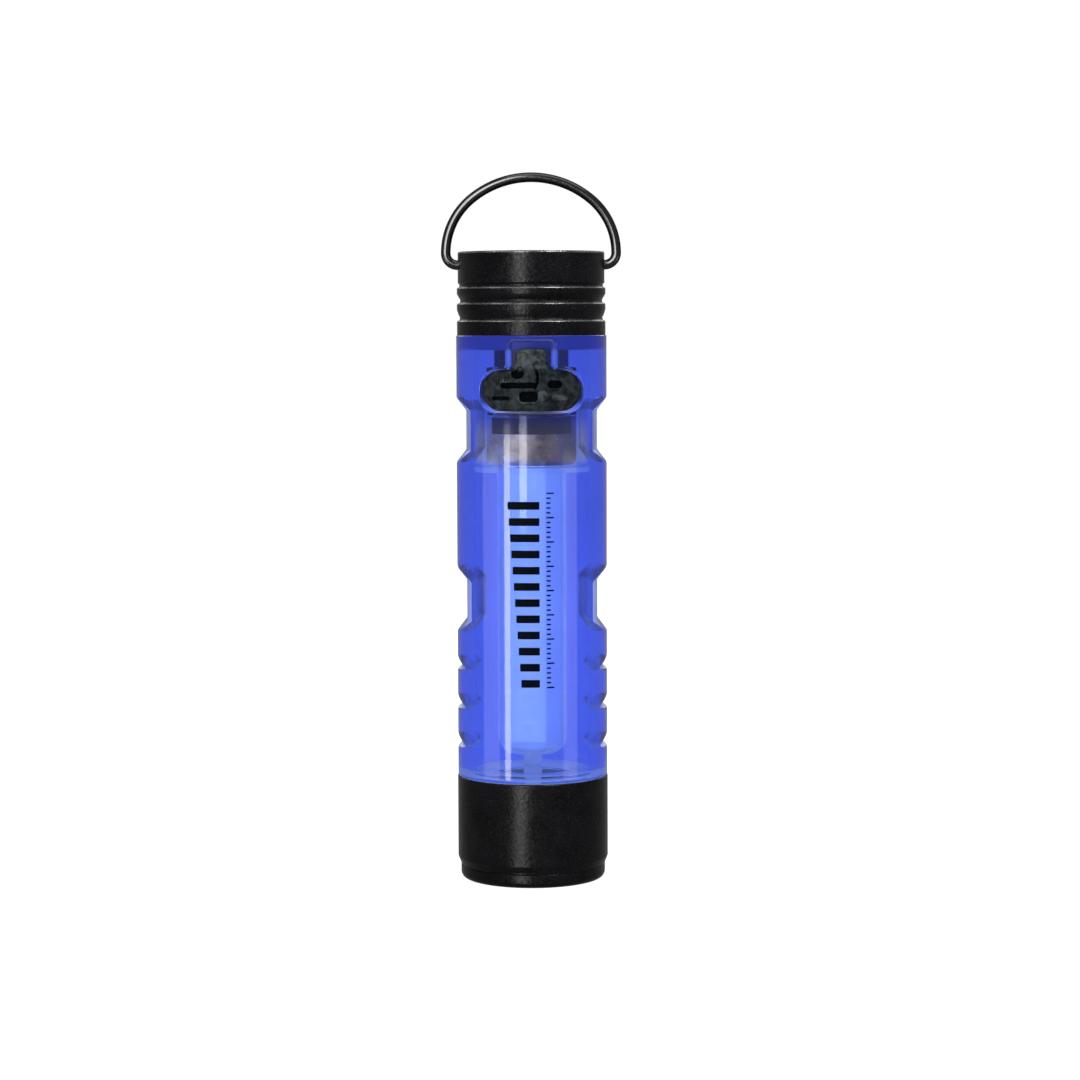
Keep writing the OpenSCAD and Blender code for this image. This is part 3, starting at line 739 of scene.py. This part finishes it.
def build_button():
    lo, hi = span("tail_button")
    face, r = hi[2], 4.12
    outline = [(0, face - 0.42), (1.2, face - 0.40), (2.2, face - 0.30), (2.9, face - 0.14),
               (3.25, face - 0.02), (3.40, face - 0.02), (3.46, face - 0.22), (3.56, face - 0.22),
               (3.62, face - 0.02), (r, face - 0.02), (r, lo[2] + 0.56), (4.6, lo[2] + 0.56),
               (4.6, lo[2]), (0, lo[2])]
    radii = [0, 0.5, 0.5, 0.3, 0.06, 0.03, 0.02, 0.02, 0.03, 0.16, 0, 0.05, 0.05, 0]
    button = lathe("button_pad", rounded(outline, radii), M["button_rubber"], "button", 144, True)
    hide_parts("tail_button")
    # small grip domes in rings on the dished face: how many, their circle's radius, depth of the dish
    for index, (number, circle, sunk) in enumerate(((1, 0.0, 0.42), (6, 1.0, 0.405), (12, 2.0, 0.325))):
        for k in range(number):
            a = 2 * math.pi * (k + 0.5 * (index % 2)) / number
            dome(f"button_dome_{index}_{k}", circle * math.cos(a), circle * math.sin(a), face - sunk)


def dome(name, x, y, z):
    """A low rubber dome on the button, with its rim sunk into the face."""
    size, flat, sunk_rim = 0.26, 0.45, 0.03
    rows, cols = 5, 16
    verts = [(x, y, z + size * flat)]
    for i in range(1, rows + 1):
        t = i / rows * math.pi / 2
        for k in range(cols):
            a = 2 * math.pi * k / cols
            verts.append((x + size * math.sin(t) * math.cos(a), y + size * math.sin(t) * math.sin(a),
                          z + size * flat * math.cos(t) - (sunk_rim if i == rows else 0)))
    faces = [(0, 1 + k, 1 + (k + 1) % cols) for k in range(cols)]
    for i in range(rows - 1):
        for k in range(cols):
            m = (k + 1) % cols
            a, b = 1 + i * cols, 1 + (i + 1) * cols
            faces.append((a + k, b + k, b + m, a + m))
    faces.append(tuple(1 + (rows - 1) * cols + k for k in range(cols)))
    make_object(name, verts, faces, M["button_rubber"], "button")


build_cap()
build_head()
build_button()


# ---------------------------------------------------------------- bail
def build_bail():
    """A wide arc over the top, a tighter one down each side, and a bend in to each pivot."""
    r = 0.5
    a, rise = span("bail_wire")[1][0] - r, 7.71
    wide_z, top_r, bend = PIVOT_Z + 1.2, 9.6, 1.2
    side_r = (a * a + rise * rise - 2 * rise * top_r) / (2 * (a - top_r))
    top_z, side_x = wide_z + rise - top_r, a - side_r
    meet = math.atan2(side_x, wide_z - top_z)
    right = []
    for k in range(24):
        t = meet * k / 24
        right.append((top_r * math.sin(t), 0, top_z + top_r * math.cos(t)))
    for k in range(22):
        t = meet + (math.pi / 2 - meet) * k / 22
        right.append((side_x + side_r * math.sin(t), 0, wide_z + side_r * math.cos(t)))
    for k in range(11):
        t = math.pi / 2 * k / 10
        right.append((a - bend + bend * math.cos(t), 0, wide_z - bend * math.sin(t)))
    right.append((5.72, 0, PIVOT_Z))
    path = [(-x, y, z) for x, y, z in reversed(right[1:])] + right
    bail = sweep("bail_bent", path, r, M["bail_black"], "bail", 24)
    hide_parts("bail_wire")


build_bail()


# ---------------------------------------------------------------- port cover
def patch(name, xs, zs, field, outer, inner, material, body):
    """A closed skin over the cells where field is negative, with its edge points drawn onto the outline."""
    x, z = np.meshgrid(xs, zs)
    f = field(x, z)
    middle = (f[:-1, :-1] + f[1:, :-1] + f[:-1, 1:] + f[1:, 1:]) / 4
    keep = middle < 0
    step = 1e-3
    gx = (field(x + step, z) - field(x - step, z)) / (2 * step)
    gz = (field(x, z + step) - field(x, z - step)) / (2 * step)
    used = np.zeros(f.shape, bool)
    free = np.zeros(f.shape, bool)
    for dr in (0, 1):
        for dc in (0, 1):
            block = np.zeros(f.shape, bool)
            block[dr:dr + keep.shape[0], dc:dc + keep.shape[1]] = keep
            used |= block
            open_ = np.ones(f.shape, bool)
            open_[dr:dr + keep.shape[0], dc:dc + keep.shape[1]] = ~keep
            free |= open_
    rim = used & free
    size = np.maximum(np.hypot(gx, gz), 0.3) ** 2
    x = np.where(rim, x - f * gx / size, x)
    z = np.where(rim, z - f * gz / size, z)
    top, low = outer(x, z, np.where(rim, 0.0, field(x, z))), inner(x, z)
    index = -np.ones(f.shape, int)
    verts, faces = [], []
    for i, j in zip(*np.nonzero(used)):
        index[i, j] = len(verts)
        verts.append((x[i, j], top[i, j], z[i, j]))
    shift = len(verts)
    for i, j in zip(*np.nonzero(used)):
        verts.append((x[i, j], low[i, j], z[i, j]))
    for i, j in zip(*np.nonzero(keep)):
        q = (index[i, j], index[i, j + 1], index[i + 1, j + 1], index[i + 1, j])
        faces.append(q)
        faces.append(tuple(shift + v for v in reversed(q)))
        near = ((i, j - 1, q[3], q[0]), (i, j + 1, q[1], q[2]), (i - 1, j, q[0], q[1]),
                (i + 1, j, q[2], q[3]))
        for ni, nj, p, r in near:
            if not (0 <= ni < keep.shape[0] and 0 <= nj < keep.shape[1]) or not keep[ni, nj]:
                faces.append((p, p + shift, r + shift, r))
    return make_object(name, verts, faces, material, body)


def cover_field(x, z):
    """The cover's outline: a lid with round ends and a tab above it, run together by a fillet."""
    lid = capsule(x, z - PORT_Z, *COVER)
    tall = TAB_TOP - PORT_Z
    tab = box_field(x, z - PORT_Z - tall / 2, 3.15, tall, 0.7)
    k = 1.1
    h = np.maximum(k - np.abs(lid - tab), 0) / k
    return np.minimum(lid, tab) - h * h * k * 0.25


def build_cover():
    step = 0.06
    xs = np.arange(-5.25, 5.251, step)
    zs = np.arange(PORT_Z - 2.25, TAB_TOP + 0.15, step)

    def dimple(x, dz):
        return box_field(x + 0.3, dz + 0.62, 1.8, 0.95, 0.4)

    def relief(x, z):
        """Grooves, dimples to pull at and raised pads and ribs: a plain pattern, in millimetres."""
        dz = z - PORT_Z

        def sunk(field, depth, soft=0.10):
            return -depth * smooth_step((soft / 2 - field) / soft)

        h = sunk(capsule(x + 1.35, dz - 0.52, 3.5, 0.50), 0.32)
        h += sunk(np.hypot(x + 1.4, dz - 1.80) - 0.60, 0.36)
        h += sunk(capsule(x - 2.35, dz - 0.62, 1.4, 0.75), 0.32)
        h += sunk(dimple(x, dz), 0.40)
        arc = np.abs(np.hypot(x + 0.9, dz - 1.25) - 1.55) - 0.13
        h += sunk(np.maximum(arc, 0.3 - x), 0.26)
        h -= sunk(box_field(x - 1.1, dz + 0.55, 0.9, 0.9, 0.3), 0.10, 0.2)
        h -= sunk(capsule(x - 2.9, dz + 0.75, 1.7, 0.5), 0.08, 0.2)
        for k in range(6):
            rib = box_field(x + 3.65 - 0.27 * k, dz - 1.15 + 0.05 * k, 0.15, 0.4, 0.05)
            h -= sunk(rib, 0.10, 0.06)
        h += sunk(capsule(x + 3.1, dz + 0.75, 1.7, 0.34), 0.16, 0.14)
        return h

    def outer(x, z, f):
        edge = np.clip(-f / 0.28, 0, 1)
        fall = 0.26 * (1 - np.sqrt(np.clip(1 - (1 - edge) ** 2, 0, 1)))
        swell = 0.03 * smooth_step(-f / 1.2)
        r = TUBE_R - 0.12 - fall + swell + relief(x, z) * smooth_step((-f - 0.2) / 0.25)
        return -np.sqrt(r * r - x * x)

    def inner(x, z):
        r = FLOOR_R + 0.12
        return -np.sqrt(r * r - x * x)

    skin = patch("port_cover", xs, zs, cover_field, outer, inner, M["cover_rubber"], None)
    spots = np.zeros(len(skin.data.vertices) * 3)
    skin.data.vertices.foreach_get("co", spots)
    sx, sz = spots[0::3] / MM, spots[2::3] / MM
    height = relief(sx, sz)
    lid_edge = capsule(sx, sz - PORT_Z, *COVER)
    # raised places lighter, as wear and painted highlight; sunk places darker, as painted shade
    tone = np.clip(0.34 + 8.0 * np.maximum(height, 0) + 4.0 * np.minimum(height, 0), 0, 1)
    # painted highlights on the dimple's lower lip, the tab's top edge and the lid's rim, stronger below
    lip = np.exp(-((dimple(sx, sz - PORT_Z) - 0.12) / 0.07) ** 2) * (sz < PORT_Z - 0.5)
    tone = np.maximum(tone, np.maximum(lip, smooth_step((sz - TAB_TOP + 0.30) / 0.15)))
    tone = np.maximum(tone, 0.75 * smooth_step((lid_edge + 0.2) / 0.5))
    tone = np.maximum(tone, 0.55 * smooth_step((lid_edge + 0.35) / 0.3) * (sz < PORT_Z))
    skin.data.attributes.new("tone", "FLOAT", "POINT").data.foreach_set("value", tone)
    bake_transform(skin)
    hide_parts("cover_flap", "cover_tab")

    def plug_field(x, z):
        return capsule(x, z - PORT_Z, 8.6, 2.92)

    def plug_front(x, z, f):
        r = FLOOR_R + 0.2
        return -np.sqrt(r * r - x * x)

    def plug_back(x, z):
        reach = -TUBE_R + np.sqrt(np.clip(4.42 ** 2 - (z - HINGE_Z) ** 2, 0, None))
        f = plug_field(x, z)
        return np.minimum(-5.22, reach) - 0.12 * (1 - smooth_step(-f / 0.2))

    xs = np.arange(-4.5, 4.501, 0.1)
    zs = np.arange(PORT_Z - 1.6, PORT_Z + 1.601, 0.1)
    plug = patch("port_plug", xs, zs, plug_field, plug_front, plug_back, M["cover_rubber"], "cover")
    # anchor that holds the tab through the wall
    anchor = lathe("cover_anchor", rounded([(0, 0), (0.5, 0), (0.5, 1.0), (0.8, 1.0), (0.8, 1.5),
                                            (0, 1.6)], [0, 0, 0.1, 0.1, 0.15, 0]),
                   M["cover_rubber"], None, 32, True)
    anchor.matrix_world = (Matrix.Translation((0, -6.98 * MM, (TAB_TOP - 1.07) * MM))
                           @ Matrix.Rotation(-math.pi / 2, 4, "X"))
    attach(anchor, "body")


build_cover()


# ---------------------------------------------------------------- printed marks, plain bars and ticks
def mark(x0, x1, z0, z1):
    """A thin printed patch that follows the tube's front."""
    step, lift = 0.25, 0.012
    n = max(2, int((x1 - x0) / step) + 1)
    r = TUBE_R + lift
    verts, faces = [], []
    for z in (z0, z1):
        for k in range(n):
            x = x0 + (x1 - x0) * k / (n - 1)
            verts.append((x, -math.sqrt(r * r - x * x), z))
    for k in range(n - 1):
        faces.append((k, k + 1, n + k + 1, n + k))
    return verts, faces


def build_print():
    verts, faces = [], []

    def add(x0, x1, z0, z1):
        v, f = mark(x0, x1, z0, z1)
        start = len(verts)
        verts.extend(v)
        faces.extend(tuple(start + i for i in q) for q in f)

    # bold bars of falling length, like a level gauge
    low, high, count = 20.6, 40.2, 12
    pitch = (high - low) / count
    left, right = -2.45, 0.75
    for k in range(count):
        z = low + pitch * k
        wide = (right - left) * (0.55 + 0.45 * (k + 1) / count)
        add(right - wide, right, z, z + pitch * 0.48)
    # fine ticks beside them
    for k in range(41):
        z = low + (high - low) * k / 40
        long = 0.75 if k % 5 == 0 else 0.42
        add(1.45, 1.45 + long, z - 0.075, z + 0.075)
    ink = make_object("print_marks", verts, faces, M["print_black"])


build_print()


# ---------------------------------------------------------------- small parts inside
def chip(name, centre, size, material, corner=0.06):
    """A small block with chamfered edges."""
    bm = bmesh.new()
    bmesh.ops.create_cube(bm, size=1.0)
    bmesh.ops.scale(bm, vec=Vector(size), verts=bm.verts)
    bmesh.ops.bevel(bm, geom=bm.edges[:], offset=corner, segments=2, affect="EDGES")
    bmesh.ops.translate(bm, vec=Vector(centre), verts=bm.verts)
    bmesh.ops.scale(bm, vec=Vector((MM, MM, MM)), verts=bm.verts)
    mesh = bpy.data.meshes.new(name)
    bm.to_mesh(mesh)
    bm.free()
    mesh.materials.append(material)
    obj = bpy.data.objects.new(name, mesh)
    bpy.context.scene.collection.objects.link(obj)
    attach(obj, "body")


def build_inside():
    # white face cast into the underside of the tube's floor, with a painted glow
    low = HEAD_TOP + 0.10
    face = lathe("floor_face", [(4.0, low), (7.45, low), (7.45, low + 0.04), (4.0, low + 0.04)],
                 M["floor_white_painted_glow"], turns=96)
    strip_lo, strip_hi = span("lantern_strip")
    front = strip_lo[1]
    middle = (strip_lo[0] + strip_hi[0]) / 2
    # the lantern's row of lamps, given a painted glow
    count = 9
    for k in range(count):
        z = strip_lo[2] + (k + 0.5) * (strip_hi[2] - strip_lo[2]) / count
        chip(f"strip_die_{k}", (middle, front - 0.12, z), (1.5, 0.24, 1.1), M["strip_painted_glow"])
    # small parts on the board's front: number, place across, height above the port, width, height
    front_y, thick = span("main_board")[0][1], 0.32
    for k, x, dz, w, h in ((1, 2.2, 3.6, 0.4, 0.8), (2, -2.9, 4.2, 0.5, 0.3), (4, -3.1, 2.0, 0.35, 0.7),
                           (5, 0.6, 3.0, 0.6, 0.35), (6, 0.4, 4.3, 0.5, 0.3)):
        chip(f"board_part_{k}", (x, front_y - thick / 2, PORT_Z + dz), (w, thick, h),
             M["white_plastic"], 0.04)
    # contact pads on the tongue
    tongue_lo, tongue_hi = span("port_tongue")
    for k in range(12):
        x = (k - 5.5) * 0.5
        chip(f"port_pad_{k}", (x, (tongue_lo[1] + tongue_hi[1]) / 2 - 0.6, tongue_hi[2] + 0.005),
             (0.26, 2.6, 0.04), M["brass"], 0.01)


build_inside()


# ---------------------------------------------------------------- floor, light, camera
def ray_switch(tree, seen_value, gloss_value, other_value):
    """One value for rays from the camera or through clear plastic, one for reflections, one for all
    others."""
    path = tree.nodes.new("ShaderNodeLightPath")
    rest = tree.nodes.new("ShaderNodeMapRange")
    rest.inputs["To Min"].default_value = other_value
    rest.inputs["To Max"].default_value = gloss_value
    tree.links.new(path.outputs["Is Glossy Ray"], rest.inputs["Value"])
    seen = tree.nodes.new("ShaderNodeMath")
    seen.operation = "MAXIMUM"
    tree.links.new(path.outputs["Is Camera Ray"], seen.inputs[0])
    tree.links.new(path.outputs["Is Transmission Ray"], seen.inputs[1])
    power = tree.nodes.new("ShaderNodeMapRange")
    tree.links.new(rest.outputs["Result"], power.inputs["To Min"])
    power.inputs["To Max"].default_value = seen_value
    tree.links.new(seen.outputs[0], power.inputs["Value"])
    return power.outputs["Result"]


def build_stage():
    n = Nodes("floor_pale")
    tone = n.mix(n.ramp(n.noise(0.02, 3), 0, 1), (0.30, 0.30, 0.30), (0.33, 0.33, 0.33))
    n.set(Base_Color=tone, Roughness=n.ramp(n.noise(0.05, 2), 0.7, 0.8), Specular_IOR_Level=0.0,
          Emission_Color=(1, 1, 1), Emission_Strength=ray_switch(n.tree, 0.97, 0.05, 0.2))
    size, low = 4000.0, -0.02
    corners = [(-size, -size, low), (size, -size, low), (size, size, low), (-size, size, low)]
    floor = make_object("floor", corners, [(0, 1, 2, 3)], n.material, None)
    floor.visible_glossy = False
    floor.visible_shadow = False

    world = bpy.data.worlds.new("studio")
    bpy.context.scene.world = world
    world.use_nodes = True
    tree = world.node_tree
    back = tree.nodes["Background"]
    back.inputs["Color"].default_value = (1, 1, 1, 1)
    tree.links.new(ray_switch(tree, 1.02, 0.32, 0.5), back.inputs["Strength"])

    def area_light(name, width, height, energy, place):
        data = bpy.data.lights.new(name, "AREA")
        data.shape = "RECTANGLE"
        data.size, data.size_y, data.energy = width, height, energy
        obj = bpy.data.objects.new(name, data)
        bpy.context.scene.collection.objects.link(obj)
        obj.location = place
        obj.visible_camera = False
        return obj

    def softbox(name, azimuth, wide, low, high, radiance, distance=0.5):
        """A tall light at an angle from the front, in degrees; low and high are heights in metres."""
        a = math.radians(azimuth)
        way = Vector((math.sin(a), -math.cos(a), 0))
        width, height = 2 * distance * math.tan(math.radians(wide / 2)), high - low
        place = way * distance + Vector((0, 0, (low + high) / 2))
        light = area_light(name, width, height, math.pi * radiance * width * height, place)
        light.rotation_euler = (-way).to_track_quat("-Z", "Y").to_euler()
        return light

    softbox("key_low", -13, 11, 0.004, 0.029, 7.0)
    key = softbox("key", -13, 11, 0.029, 0.42, 7.0)
    sides = [softbox("left", -37.5, 9, -0.03, 0.040, 8.0, 0.16),
             softbox("left_far", -65, 28, -0.03, 0.037, 1.4, 0.16),
             softbox("right", 59, 24, -0.03, 0.037, 1.4, 0.16)]
    softbox("back_left", -150, 24, 0.16, 0.50, 2.5)
    softbox("back_right", 150, 24, 0.16, 0.50, 2.5)
    area_light("overhead", 0.5, 0.5, 1.6, (0.1, -0.1, 0.6))

    def linked(name, pieces, state="INCLUDE"):
        """A list of pieces that a light alone reaches, or with EXCLUDE passes by."""
        group = bpy.data.collections.new(name)
        for piece in pieces:
            group.objects.link(bpy.data.objects[piece])
        for entry in group.collection_objects:
            entry.light_linking.link_state = state
        return group

    turned = ("cap_turned", "head_turned", "bezel_turned")
    blacks, not_blacks = linked("blacks", turned), linked("not_blacks", turned, "EXCLUDE")
    key.light_linking.receiver_collection = linked("not_tube", ["tube_clear"], "EXCLUDE")
    for light in sides:
        light.light_linking.receiver_collection = not_blacks
    # lights for the black parts alone: a band down their front, and thin lines on the rings' edges
    band = softbox("band", -19, 10, -0.10, 0.12, 18.0, 0.16)
    glints = [softbox("glint_right", 40, 30, 0.18, 0.24, 70.0, 0.16),
              softbox("glint_left", -62, 30, 0.18, 0.24, 16.0, 0.16)]
    for glint in glints:
        way = Vector((0, 0, 0.06)) - glint.location
        glint.rotation_euler = way.to_track_quat("-Z", "Y").to_euler()
    for light in (band, *glints):
        light.light_linking.receiver_collection = blacks
    # and one that draws a line along the bail
    line = softbox("bail_line", -24, 42, 0.04, 0.34, 10.0, 0.3)
    line.light_linking.receiver_collection = linked("wires", ["bail_bent"])


def build_camera():
    """Level with the tail cap, in front of the part, and looking a little down."""
    distance, level = 305.0, 57.84
    down, turn, roll = math.radians(4.2929412), math.radians(0.1542953), math.radians(-0.2)
    data = bpy.data.cameras.new("camera")
    data.lens = 99.0233333
    data.sensor_width = 36
    data.clip_start, data.clip_end = 0.01, 20
    cam = bpy.data.objects.new("camera", data)
    bpy.context.scene.collection.objects.link(cam)
    cam.location = (0, -distance * MM, level * MM)
    aim = Matrix.Rotation(-turn, 4, "Z") @ Matrix.Rotation(math.pi / 2 - down, 4, "X")
    cam.rotation_mode = "QUATERNION"
    cam.rotation_quaternion = (aim @ Matrix.Rotation(roll, 4, "Z")).to_quaternion()
    bpy.context.scene.camera = cam


build_stage()
build_camera()

scene = bpy.context.scene
scene.view_settings.view_transform = "Standard"
scene.cycles.use_denoising = True
scene.cycles.max_bounces = 16
scene.cycles.transmission_bounces = 14
scene.cycles.transparent_max_bounces = 16
